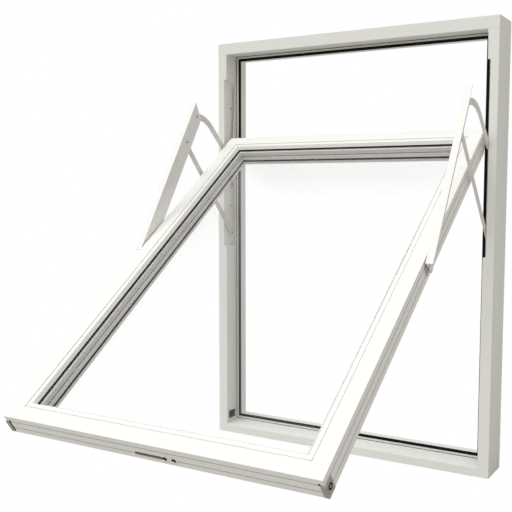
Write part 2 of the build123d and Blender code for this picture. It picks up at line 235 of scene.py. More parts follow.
@dataclass(frozen=True)
class Finish(Surface):
    """An opaque material and how its surface was made; lengths in millimetres."""

    colour: str
    shade: str
    roughness: float
    roughness_spread: float = 0.05
    metallic: float = 0.0
    specular: float = 0.5
    grain: float = 1.5
    grain_height: float = 0.012
    grain_pull: Triple = (1.0, 1.0, 1.0)
    grain_range: Point = (0.3, 0.7)
    grain_detail: float = 2.0
    grain_strength: float = 0.6
    cloud: float = 220.0
    cloud_detail: float = 3.0
    edge: float = 0.4
    edge_samples: int = 4

    def draw(self, tree: bpy.types.NodeTree) -> None:
        """Draws a cloudy colour, an uneven gloss, a fine grain and softened edges.

        Args:
            tree: The material's empty node tree.
        """
        place = add_node(tree, "ShaderNodeTexCoord").outputs["Object"]
        cloud = add_node(tree, "ShaderNodeTexNoise", {
            "Vector": place, "Scale": 1 / (self.cloud * MM), "Detail": self.cloud_detail})
        pulled = add_node(tree, "ShaderNodeMapping", {"Vector": place, "Scale": self.grain_pull})
        grain = add_node(tree, "ShaderNodeTexNoise", {
            "Vector": pulled.outputs[0], "Scale": 1 / (self.grain * MM), "Detail": self.grain_detail})
        tint = add_node(tree, "ShaderNodeMix", {
            "Factor": cloud.outputs["Fac"], MIX_FIRST: linear(self.colour), MIX_SECOND: linear(self.shade)},
            data_type="RGBA")
        low, high = self.grain_range
        gloss = add_node(tree, "ShaderNodeMapRange", {
            "Value": grain.outputs["Fac"], "From Min": low, "From Max": high,
            "To Min": self.roughness - self.roughness_spread,
            "To Max": self.roughness + self.roughness_spread})
        edges = add_node(tree, "ShaderNodeBevel", {"Radius": self.edge * MM}, samples=self.edge_samples)
        bump = add_node(tree, "ShaderNodeBump", {
            "Height": grain.outputs["Fac"], "Distance": self.grain_height * MM,
            "Strength": self.grain_strength, "Normal": edges.outputs["Normal"]})
        shader = add_node(tree, "ShaderNodeBsdfPrincipled", {
            "Base Color": tint.outputs[MIX_RESULT], "Roughness": gloss.outputs["Result"],
            "Metallic": self.metallic, "Specular IOR Level": self.specular,
            "Normal": bump.outputs["Normal"]})
        add_node(tree, "ShaderNodeOutputMaterial", {"Surface": shader.outputs["BSDF"]})


@dataclass(frozen=True)
class FloatGlass(Surface):
    """Clear float glass: flat, mirror-smooth and colourless, and no hindrance to daylight."""

    colour: str
    ior: float = 1.15

    def draw(self, tree: bpy.types.NodeTree) -> None:
        """Draws a glass that shadows and indirect light pass through.

        Args:
            tree: The material's empty node tree.
        """
        glass = add_node(tree, "ShaderNodeBsdfPrincipled", {
            "Base Color": linear(self.colour), "Roughness": 0.0, "IOR": self.ior,
            "Transmission Weight": 1.0})
        passing = either_ray(tree, "Is Shadow Ray", "Is Diffuse Ray")
        clear = add_node(tree, "ShaderNodeBsdfTransparent")
        both = add_node(tree, "ShaderNodeMixShader", {0: passing, 1: glass.outputs[0], 2: clear.outputs[0]})
        add_node(tree, "ShaderNodeOutputMaterial", {"Surface": both.outputs[0]})


@dataclass(frozen=True)
class PaperSweep(Surface):
    """Studio paper: it looks as white as the surround, and sends light up as grey paper does."""

    colour: str

    def draw(self, tree: bpy.types.NodeTree) -> None:
        """Draws matt paper that glows for rays which show it.

        Args:
            tree: The material's empty node tree.
        """
        paper = add_node(tree, "ShaderNodeBsdfDiffuse", {"Color": linear(self.colour)})
        glare = add_node(tree, "ShaderNodeEmission", {"Color": linear(WHITE), "Strength": 1.0})
        shown = either_ray(tree, "Is Camera Ray", "Is Singular Ray")
        both = add_node(tree, "ShaderNodeMixShader", {0: shown, 1: paper.outputs[0], 2: glare.outputs[0]})
        add_node(tree, "ShaderNodeOutputMaterial", {"Surface": both.outputs[0]})


# A grain under a millimetre stands for a finer one, and is drawn as coarse as it needs to be to show

# Powder on aluminium bakes to a plastic film: a soft sheen over a faint orange peel
FRAME_COAT = Finish("powder_coated_aluminium_frame", "#EBECE8", "#E6E7E3", 0.45)
# The sash has the same powder in a cleaner white, a little glossier
SASH_COAT = Finish("powder_coated_aluminium_sash", "#F4F4F1", "#F0F0ED", 0.42)
# On the steel arms it lies thinner, so they look greyer and duller, with a tighter peel
STEEL_COAT = Finish("powder_coated_steel_arms", "#E6E5E0", "#DEDDD8", 0.48, grain=1.0)
# EPDM seals are extruded: matt black with a fine rough skin and hardly a reflection
RUBBER = Finish("extruded_epdm_rubber", "#0C0C0C", "#151515", 0.75, specular=0.2, grain=0.8,
                grain_height=0.03, edge=0.2)
# Painted shade: a dull dark grey strip laid in the bottoms of grooves stands for the shade in them
GROOVE_SHADE = Finish("painted_groove_shade", "#232423", "#1B1C1B", 0.8, specular=0.2, grain=0.8, edge=0.1)
# A warm-edge spacer is a thin rolled strip with a dull satin face
SPACER = Finish("roll_formed_spacer_strip", "#EFEFEC", "#E6E6E2", 0.42, metallic=0.1, grain=0.9, edge=0.2)
# The panes are float glass with an anti-reflection coat, so mirror images on them stay faint
GLASS = FloatGlass("coated_float_glass", WHITE)
# Zinc plate is bright but cloudy, with the rolled sheet's grain under it
ZINC = Finish("zinc_plated_pressed_steel", "#C6BFBA", "#A39B95", 0.38, metallic=0.65, grain=0.6,
              grain_pull=(1.0, 0.3, 0.3), cloud=14.0, edge=0.3)
# Dark passivation turns zinc plate near black, and leaves a dim metal gleam
KEEPER_STEEL = Finish("dark_passivated_steel", "#2B2827", "#1D1B1A", 0.45, metallic=0.5, grain=0.6,
                      cloud=12.0, edge=0.3)
# Black oxide on the lock's studs and small screws sends hardly any light back; the same black also fills
# slots, gaps and the cups' hollows as painted shade and shadow
BLACK_OXIDE_AND_SHADE = Finish("black_oxide_and_painted_shade", "#100F0F", "#0A0A0A", 0.7, specular=0.2, grain=0.8, edge=0.2)
# Chromate on the rivets and plate screws is dark brown with small clouds and a weak glint
RIVET_STEEL = Finish("brown_chromated_rivet_steel", "#40332F", "#2B211E", 0.45, metallic=0.4, grain=0.5,
                     cloud=6.0, edge=0.2)
# The lock's slide has a paler chromate, a dull bronze beside the black of its slot
SLIDE_STEEL = Finish("bronze_chromated_slide", "#8F8179", "#75685F", 0.45, metallic=0.4, grain=0.6,
                     cloud=9.0, edge=0.2)
# Moulded acetal is near white with an even, waxy sheen
ACETAL = Finish("moulded_acetal_guide", "#ECECE8", "#E4E4DF", 0.42, grain=1.2, edge=0.3)
# Powder on the die-cast handle lies smoother, so its highlights are the sharpest of the coats
HANDLE_COAT = Finish("powder_coated_zinc_handle", "#EDEDEB", "#E5E5E2", 0.36, grain=1.0)
# Background paper lit until it burns out, so the floor has no edge
SWEEP = PaperSweep("overexposed_paper_sweep", "#C0BEBA")


@dataclass(frozen=True)
class Place:
    """Local axes on the window: a matrix from a piece's own millimetres to the window's metres."""

    matrix: Matrix

    @staticmethod
    def at(origin: Vector, across: Vector, up: Vector) -> "Place":
        """Builds a place.

        Args:
            origin: The local zero, in metres.
            across: The local x direction.
            up: The local y direction, square to x.

        Returns:
            The place, whose local z is square to both.
        """
        turn = Matrix((across, up, across.cross(up))).transposed().to_4x4()
        return Place(Matrix.Translation(origin) @ turn @ Matrix.Scale(MM, 4))


def rim_of(bm: bmesh.types.BMesh) -> list[bmesh.types.BMEdge]:
    """The edges round the faces that look along local z."""
    bm.normal_update()
    return list({edge for face in bm.faces if face.normal.z > FRONT_FACING for edge in face.edges})


def rounded(bm: bmesh.types.BMesh, edges: Iterable[bmesh.types.BMEdge], radius: float, steps: int) -> None:
    """Rounds edges to a radius in a number of steps."""
    bmesh.ops.bevel(bm, geom=list(edges), offset=radius, segments=steps, profile=0.5, affect="EDGES",
                    clamp_overlap=True, material=-1)


def slab(size: Triple, corner: float = 0.0, edge: float = 0.0) -> bmesh.types.BMesh:
    """Makes a slab that stands on local z zero.

    Args:
        size: Its width, height and thickness.
        corner: Radius of the four corners seen from the front.
        edge: Radius of the edges round its front.

    Returns:
        The slab's mesh.
    """
    bm = bmesh.new()
    bmesh.ops.create_cube(bm, size=1.0)
    bmesh.ops.translate(bm, vec=UPRIGHT / 2, verts=bm.verts)
    bmesh.ops.scale(bm, vec=size, verts=bm.verts)
    if corner:
        upright = [line for line in bm.edges if abs(line.verts[0].co.z - line.verts[1].co.z) > size[2] / 2]
        rounded(bm, upright, corner, CORNER_STEPS)
    if edge:
        rounded(bm, rim_of(bm), edge, EDGE_STEPS)
    return bm


def line_through(bm: bmesh.types.BMesh, points: Iterable[Triple], closed: bool = False
                 ) -> tuple[list[bmesh.types.BMVert], list[bmesh.types.BMEdge]]:
    """Draws a line that an operator then turns or extrudes.

    Args:
        bm: The mesh that it goes into.
        points: The line's points.
        closed: Whether it runs back to its first point.

    Returns:
        Its vertices and its edges.
    """
    verts = [bm.verts.new(point) for point in points]
    first = 0 if closed else 1
    return verts, [bm.edges.new((verts[index - 1], verts[index])) for index in range(first, len(verts))]


def lathe(profile: Iterable[Point], steps: int = TURNED_STEPS, closed: bool = False) -> bmesh.types.BMesh:
    """Makes a part turned about local z, such as a rivet or a washer.

    Args:
        profile: Radius and height of each point of the half section.
        steps: How many sides it gets round its axis.
        closed: Whether the half section is closed and clear of the axis.

    Returns:
        The part's mesh.
    """
    bm = bmesh.new()
    verts, edges = line_through(bm, [(radius, 0, height) for radius, height in profile], closed)
    bmesh.ops.spin(bm, geom=verts + edges, cent=(0, 0, 0), axis=UPRIGHT, angle=math.tau, steps=steps,
                   use_merge=True)
    bmesh.ops.remove_doubles(bm, verts=bm.verts, dist=MERGE_DISTANCE)
    return bm


def turned(form: Turned, radius: float, height: float) -> bmesh.types.BMesh:
    """Makes a turned part of one of the named forms."""
    return lathe([(out * radius, up * height) for out, up in form.value])


def washer(outer: float, inner: float, height: float, softness: float = 0.25) -> bmesh.types.BMesh:
    """Makes a flat ring with softened edges.

    Args:
        outer: Its outer radius.
        inner: Its inner radius.
        height: Its thickness.
        softness: How wide the slope at its edges is, as a share of the thickness.

    Returns:
        The ring's mesh.
    """
    soft = softness * height
    section = [(inner, 0), (outer, 0), (outer, height - soft), (outer - soft, height),
               (inner + soft, height), (inner, height - soft)]
    return lathe(section, WASHER_STEPS, closed=True)


def mitred_ring(section: Iterable[Point], half_width: float, half_height: float) -> bmesh.types.BMesh:
    """Makes a ring by pushing a section round a rectangle, with mitred corners.

    Args:
        section: Points of the closed section: outwards from the rectangle, and towards the front.
        half_width: Half the rectangle's width.
        half_height: Half the rectangle's height.

    Returns:
        The ring's mesh.
    """
    bm = bmesh.new()
    corner = [(half_width + out, half_height + out, up) for out, up in section]
    _, start = line_through(bm, corner, closed=True)
    edges = start
    # Each new corner is the last one, mirrored across the window or up it
    for mirror in ((-1, 1, 1), (1, -1, 1), (-1, 1, 1)):
        made = bmesh.ops.extrude_edge_only(bm, edges=edges)["geom"]
        fresh = {item for item in made if isinstance(item, bmesh.types.BMVert)}
        lines = [item for item in made if isinstance(item, bmesh.types.BMEdge)]
        edges = [line for line in lines if fresh.issuperset(line.verts)]
        bmesh.ops.scale(bm, vec=mirror, verts=list(fresh))
    bmesh.ops.bridge_loops(bm, edges=start + edges)
    return bm


def swept_bar(rings: list[tuple[Triple, float, float]]) -> bmesh.types.BMesh:
    """Makes a smooth bar through oval sections that lie square to local y.

    Args:
        rings: For each section its middle, half its width and half its depth.

    Returns:
        The bar's mesh.
    """
    bm = bmesh.new()
    middle, width, depth = rings[0]
    bmesh.ops.create_circle(bm, cap_ends=True, radius=1.0, segments=OVAL_SIDES)
    bmesh.ops.rotate(bm, verts=bm.verts, cent=(0, 0, 0), matrix=Matrix.Rotation(math.pi / 2, 3, "X"))
    bmesh.ops.scale(bm, vec=(width, 1, depth), verts=bm.verts)
    bmesh.ops.translate(bm, vec=middle, verts=bm.verts)
    base = list(bm.faces)[0]
    cap = base
    for centre, wide, deep in rings[1:]:
        old = cap
        made = bmesh.ops.extrude_face_region(bm, geom=[old])["geom"]
        cap = next(item for item in made if isinstance(item, bmesh.types.BMFace))
        if old is not base:
            bmesh.ops.delete(bm, geom=[old], context="FACES_ONLY")
        top = list(cap.verts)
        bmesh.ops.translate(bm, vec=-Vector(middle), verts=top)
        bmesh.ops.scale(bm, vec=(wide / width, 1, deep / depth), verts=top)
        bmesh.ops.translate(bm, vec=centre, verts=top)
        middle, width, depth = centre, wide, deep
    return bm


class Piece:
    """A finished piece in the making, gathered from parts on its own local axes."""

    def __init__(self) -> None:
        """Starts empty."""
        self.bm = bmesh.new()

    def add(self, part: bmesh.types.BMesh, at: Triple = (0.0, 0.0, 0.0), turn: float = 0.0) -> "Piece":
        """Adds a part.

        Args:
            part: Its mesh, which is used up.
            at: Where it goes, in millimetres.
            turn: Its turn about local z, in degrees.

        Returns:
            The piece.
        """
        bmesh.ops.recalc_face_normals(part, faces=part.faces)
        part.transform(Matrix.Translation(at) @ Matrix.Rotation(math.radians(turn), 4, "Z"))
        mesh = bpy.data.meshes.new("part")
        part.to_mesh(mesh)
        part.free()
        self.bm.from_mesh(mesh)
        bpy.data.meshes.remove(mesh)
        return self

    def finish(self, name: str, place: Place, body: Body, finish: Finish, slot: Slot,
               replaces: Iterable[str] = (), crease: float = 35.0) -> bpy.types.Object:
        """Moves the mesh to its place and hands it over.

        Args:
            name: The piece's name.
            place: Its local axes on the window.
            body: The moving group that it rides on.
            finish: Its finish.
            slot: The record's material slot; not used.
            replaces: CAD nodes that it stands for.
            crease: Edges sharper than this many degrees stay sharp.

        Returns:
            The piece.
        """
        self.bm.transform(place.matrix)
        mesh = bpy.data.meshes.new(name)
        self.bm.to_mesh(mesh)
        self.bm.free()
        mesh.shade_smooth()
        mesh.set_sharp_from_angle(angle=math.radians(crease))
        mesh.materials.append(finish.material())
        piece = bpy.data.objects.new(name, mesh)
        bpy.context.scene.collection.objects.link(piece)
        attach(piece, body.value)
        if replaces:
            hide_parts(*replaces)
        log.info("%s rides on %s with %d faces", name, body.value, len(mesh.polygons))
        return piece


@dataclass
class Window:
    """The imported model, and the places on it that its boxes and joints give."""

    frame: dict[str, Any]
    tilt: float = 54.85
    sash_pin_up: float = 600.0
    sash_pin_back: float = 23.0

    def joint(self, name: str) -> Vector:
        """Where a joint is, in metres."""
        return Vector(next(joint["pos_m"] for joint in self.frame["joints"] if joint["name"] == name))

    def dress(self, finish: Surface, *nodes: str) -> None:
        """Gives CAD nodes a finish.

        Args:
            finish: The finish.
            nodes: The nodes' names.
        """
        for node in nodes:
            for slot in self.frame["nodes"][node].material_slots:
                slot.material = finish.material()
            log.info("%s is dressed in %s", node, finish.name)

    def low(self, node: str) -> Vector:
        """The low corner of a CAD node's box, in millimetres."""
        return Vector(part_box(node)[0]) / MM

    def high(self, node: str) -> Vector:
        """The high corner of a CAD node's box, in millimetres."""
        return Vector(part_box(node)[1]) / MM

    @property
    def half_width(self) -> float:
        """Half the frame's width, in millimetres."""
        return self.high("head_rail").x

    @property
    def face(self) -> float:
        """The y of the frame's outer face, in millimetres."""
        return self.low("jamb_left").y

    @property
    def sash_half(self) -> float:
        """Half the sash's width, in millimetres."""
        return self.high("sash_bottom_rail").x

    @property
    def up(self) -> Vector:
        """The direction up the sash's face."""
        return Vector((0, math.sin(math.radians(self.tilt)), math.cos(math.radians(self.tilt))))

    @property
    def out(self) -> Vector:
        """The direction out of the sash's face."""
        return ACROSS.cross(self.up)

    def face_place(self, back: float, height: float) -> Place:
        """Axes on the frame, this far behind its outer face: x to the right, y up, z outwards."""
        return Place.at(Vector((0, self.face + back, height)) * MM, ACROSS, UPRIGHT)

    def sash_point(self, across: float, up: float, back: float) -> Vector:
        """Finds a point of the sash from the middle of its outer face's lower edge.

        Args:
            across: How far it lies to the right.
            up: How far up the sash it lies.
            back: How far it lies behind the outer face.

        Returns:
            The point, in metres.
        """
        edge = self.joint("sash_turn") + (self.sash_pin_back * self.out - self.sash_pin_up * self.up) * MM
        return edge + (across * ACROSS + up * self.up - back * self.out) * MM

    def sash_place(self, across: float, up: float, back: float) -> Place:
        """Axes on the sash with z outwards."""
        return Place.at(self.sash_point(across, up, back), ACROSS, self.up)

    def room_place(self, across: float, up: float, back: float) -> Place:
        """Axes on the sash with z towards the room."""
        return Place.at(self.sash_point(across, up, back), -ACROSS, self.up)

    def edge_place(self, across: float, back: float) -> Place:
        """Axes on the sash's lower edge: x across, y outwards, z down away from it."""
        return Place.at(self.sash_point(across, 0, back), ACROSS, self.out)

    def sash_side_place(self, side: Side, proud: float, up: float, back: float) -> Place:
        """Axes on a side of the sash: y up it, z away from it.

        Args:
            side: Left or right.
            proud: How far the local zero stands off the side.
            up: How far up the sash it lies.
            back: How far it lies behind the sash's outer face.

        Returns:
            The place.
        """
        origin = self.sash_point(side.value * (self.sash_half + proud), up, back)
        return Place.at(origin, -side.value * self.out, self.up)

    def inward_place(self, side: Side, inset: float, point: Vector, along: Vector) -> Place:
        """Axes beside a jamb: y along a line of the linkage, z towards the window's middle.

        Args:
            side: Left or right.
            inset: How far the local zero lies in from the jamb's outer side.
            point: A joint at the local zero, in metres.
            along: The local y direction.

        Returns:
            The place.
        """
        origin = Vector((side.value * (self.half_width - inset) * MM, point.y, point.z))
        inward = -side.value * ACROSS
        return Place.at(origin, along.cross(inward), along)


@dataclass
class OuterFrame:
    """The fixed frame: coated rails and stops, lipped gasket, painted shadow gap, pocket plates and keepers.

    A screw is given as its radius and height, and a section as shares of its width and height.
    """

    window: Window
    stop_back: float = 56.0
    jamb_face: float = 29.7
    gasket_overhang: float = 0.6
    gasket_section: tuple[Point, ...] = ((0.0, 0.0), (0.0, 0.45), (0.14, 0.85), (0.28, 1.0), (0.45, 0.6),
                                         (0.65, 0.5), (0.85, 0.9), (1.0, 0.7), (1.0, 0.0))
    gasket_crease: float = 50.0
    gap_width: float = 1.5
    gap_height: float = 0.3
    plate_layer: float = 20.5
    plate_screw: Point = (2.6, 1.0)
    plate_screws: tuple[Point, ...] = ((46.0, 774.0), (36.0, 707.0), (46.0, 880.0), (36.0, 1010.0))
    groove_back: float = 78.0
    groove: float = 1.2
    groove_fill: float = 0.5
    keeper_back: float = 25.0
    keeper_sheet: float = 3.0
    keeper_slot: Triple = (4.5, 13.0, 0.15)
    keeper_slot_corner: float = 1.6
    keeper_slots: tuple[float, ...] = (-8.5, 0.0, 8.5)

    def build(self) -> None:
        """Dresses the CAD pieces and adds the small ones."""
        rails = [f"{part}_{side.word}" for part in ("jamb", "stop") for side in Side]
        self.window.dress(FRAME_COAT, "head_rail", "sill_rail", "head_stop", "sill_stop", *rails)
        self.window.dress(SASH_COAT, *[f"pivot_plate_{side.word}" for side in Side])
        self.window.dress(ACETAL, *[f"guide_rail_{side.word}" for side in Side])
        self.window.dress(KEEPER_STEEL, "keepers")
        self.gasket()
        self.shadow_gap()
        for side in Side:
            self.paint_side_groove_shade(side)
            self.plate_fixings(side)
            self.paint_keeper_slot_shade(side)

    def gasket(self) -> None:
        """The black lipped gasket on the front of the stops, in place of the plain CAD strip."""
        low, high = self.window.low("frame_gasket"), self.window.high("frame_gasket")
        width = high.x - (self.window.low("stop_right").x - self.gasket_overhang)
        height = high.y - low.y
        section = [(across * width, up * height) for across, up in self.gasket_section]
        ring = mitred_ring(section, high.x - width, (high.z - low.z) / 2 - width)
        place = self.window.face_place(self.stop_back, (low.z + high.z) / 2)
        Piece().add(ring).finish("frame_gasket_lips", place, Body.FRAME, RUBBER, Slot.RUBBER,
                                 ["frame_gasket"], self.gasket_crease)

    def shadow_gap(self) -> None:
        """Painted shade: a thin black strip in the fine joint where the stops meet the rails."""
        low, top = self.window.low("sill_stop").z, self.window.low("head_rail").z
        section = [(-self.gap_width, 0), (-self.gap_width, self.gap_height), (0, self.gap_height), (0, 0)]
        ring = mitred_ring(section, self.window.half_width - self.jamb_face, (top - low) / 2)
        place = self.window.face_place(self.stop_back, (low + top) / 2)
        Piece().add(ring).finish("stop_shadow_gap", place, Body.FRAME, BLACK_OXIDE_AND_SHADE, Slot.RUBBER)

    def paint_side_groove_shade(self, side: Side) -> None:
        """Painted shade: a dark strip at the bottom of the groove in a jamb's outer side.

        Args:
            side: Left or right.
        """
        height = self.window.low("head_rail").z
        back = self.window.face + self.groove_back + self.groove / 2
        origin = Vector((side.value * (self.window.half_width - self.groove), back, height / 2)) * MM
        place = Place.at(origin, Vector((0, side.value, 0)), UPRIGHT)
        shade_strip = Piece().add(slab((self.groove, height, self.groove_fill)))
        shade_strip.finish(f"side_groove_cord_{side.word}", place, Body.FRAME, GROOVE_SHADE, Slot.RUBBER)

    def plate_fixings(self, side: Side) -> None:
        """The screws that hold a pocket plate.

        Args:
            side: Left or right.
        """
        screws = Piece()
        for back, height in self.plate_screws:
            across = -side.value * (self.window.face + back)
            screws.add(turned(Turned.SCREW, *self.plate_screw), (across, height, 0))
        place = self.window.inward_place(side, self.plate_layer, Vector(), UPRIGHT)
        screws.finish(f"plate_screws_{side.word}", place, Body.FRAME, RIVET_STEEL, Slot.DARK)

    def paint_keeper_slot_shade(self, side: Side) -> None:
        """Painted shade: a thin black sheet in each of a keeper's three slots.

        Args:
            side: Left or right.
        """
        low, high = self.window.low("keepers"), self.window.high("keepers")
        slots = Piece()
        middle = self.window.face + self.keeper_back
        for along in self.keeper_slots:
            across = -side.value * (middle + along)
            slots.add(slab(self.keeper_slot, self.keeper_slot_corner), (across, 0, 0))
        origin = Vector((0, 0, (low.z + high.z) / 2)) * MM
        place = self.window.inward_place(side, self.jamb_face + self.keeper_sheet, origin, UPRIGHT)
        slots.finish(f"keeper_slots_{side.word}", place, Body.FRAME, BLACK_OXIDE_AND_SHADE, Slot.DARK)


@dataclass
class SashBody:
    """The swinging sash: coated rails and beads, panes, spacers, black seals and painted shade strips in its
    edge grooves.

    The seals' sections are given outwards from the rectangle they show and towards the front.
    """

    window: Window
    sash_height: float = 1126.0
    seal_inset: float = 59.0
    outer_seal_back: float = 13.0
    outer_seal: tuple[Point, ...] = ((5.4, 0.1), (10, 0.1), (10, 2.5), (7.05, 2.5), (7.2, 3.2), (6.6, 3.3),
                                     (5.8, 1.6))
    inner_seal_back: float = 51.5
    inner_seal: tuple[Point, ...] = ((-2.5, 1.2), (-1, 0), (10, 0), (10, 2.4), (-2.5, 2.4))
    seal_crease: float = 50.0
    groove: float = 1.6
    groove_backs: tuple[float, ...] = (15.0, 34.0)
    groove_fill: float = 1.2

    def build(self) -> None:
        """Dresses the rails, beads, panes and spacers and adds the seals and the painted groove shade."""
        rails = ["sash_top_rail", "sash_bottom_rail", *[f"sash_stile_{side.word}" for side in Side]]
        beads = [f"glazing_bead_{word}" for word in ("left", "right", "top", "bottom")]
        self.window.dress(SASH_COAT, *rails, *beads)
        self.window.dress(GLASS, "glass_outer", "glass_middle", "glass_inner")
        self.window.dress(SPACER, "spacer_outer", "spacer_inner")
        self.seal("outer", self.outer_seal, self.outer_seal_back)
        self.seal("inner", self.inner_seal, self.inner_seal_back)
        self.paint_groove_shade()

    def ring(self, section: Iterable[Point], inset: float) -> bmesh.types.BMesh:
        """Pushes a section round the sash, this far in from its edge."""
        return mitred_ring(section, self.window.sash_half - inset, self.sash_height / 2 - inset)

    def seal(self, word: str, section: Iterable[Point], back: float) -> None:
        """A glazing seal with a narrow lip, in place of the plain CAD strip.

        Args:
            word: Its side of the panes.
            section: Its section.
            back: How far behind the sash's outer face its back is.
        """
        place = self.window.sash_place(0, self.sash_height / 2, back)
        strip = Piece().add(self.ring(section, self.seal_inset))
        strip.finish(f"glazing_seal_{word}", place, Body.SASH, RUBBER, Slot.RUBBER,
                     [f"glazing_gasket_{word}"], self.seal_crease)

    def paint_groove_shade(self) -> None:
        """Painted shade: a dark strip at the bottom of each of the two grooves round the sash's edge."""
        section = [(0, 0), (self.groove_fill, 0), (self.groove_fill, self.groove), (0, self.groove)]
        lines = Piece()
        for back in self.groove_backs:
            lines.add(self.ring(section, self.groove), (0, 0, -back - self.groove))
        place = self.window.sash_place(0, self.sash_height / 2, 0)
        lines.finish("edge_groove_shade", place, Body.SASH, GROOVE_SHADE, Slot.RUBBER)


@dataclass
class Linkage:
    """The folding arms and cover bars with their brackets and shoes, and the rivets they turn on.

    A rivet is given as its radius and height.
    """

    window: Window
    bar_lever: float = 355.0
    rivet: Point = (3.0, 0.9)
    upper_arm_layer: float = 24.1
    lower_arm_layer: float = 27.7

    def build(self) -> None:
        """Dresses arms, bars, brackets and shoes and adds the rivets."""
        for side in Side:
            self.window.dress(STEEL_COAT, f"upper_arm_{side.word}", f"lower_arm_{side.word}")
            self.window.dress(SASH_COAT, f"cover_bar_{side.word}")
            self.window.dress(ZINC, f"bar_bracket_{side.word}")
            self.window.dress(ACETAL, f"guide_shoe_{side.word}")
            self.bar_rivets(side)
            self.arm_rivets(side)

    def bar_rivets(self, side: Side) -> None:
        """The dark rivets of a cover bar.

        Args:
            side: Left or right.
        """
        foot, head = self.window.joint("sash_turn"), self.window.joint("bar_turn")
        inset = self.window.half_width - self.window.low("cover_bar_right").x
        place = self.window.inward_place(side, inset, foot, (head - foot).normalized())
        rivets = Piece()
        for up in (self.bar_lever, (head - foot).length / MM):
            rivets.add(turned(Turned.RIVET, *self.rivet), (0, up, 0))
        rivets.finish(f"bar_rivets_{side.word}", place, Body.COVER_BARS, RIVET_STEEL, Slot.DARK)

    def arm_rivets(self, side: Side) -> None:
        """The rivets that the arms turn on at the pocket plates.

        Args:
            side: Left or right.
        """
        layers = {"arm_swing": self.upper_arm_layer, "lower_arm_swing": self.lower_arm_layer}
        for name, layer in layers.items():
            place = self.window.inward_place(side, layer, self.window.joint(name), UPRIGHT)
            rivet = Piece().add(turned(Turned.RIVET, *self.rivet))
            rivet.finish(f"{name}_rivet_{side.word}", place, Body.FRAME, RIVET_STEEL, Slot.DARK)


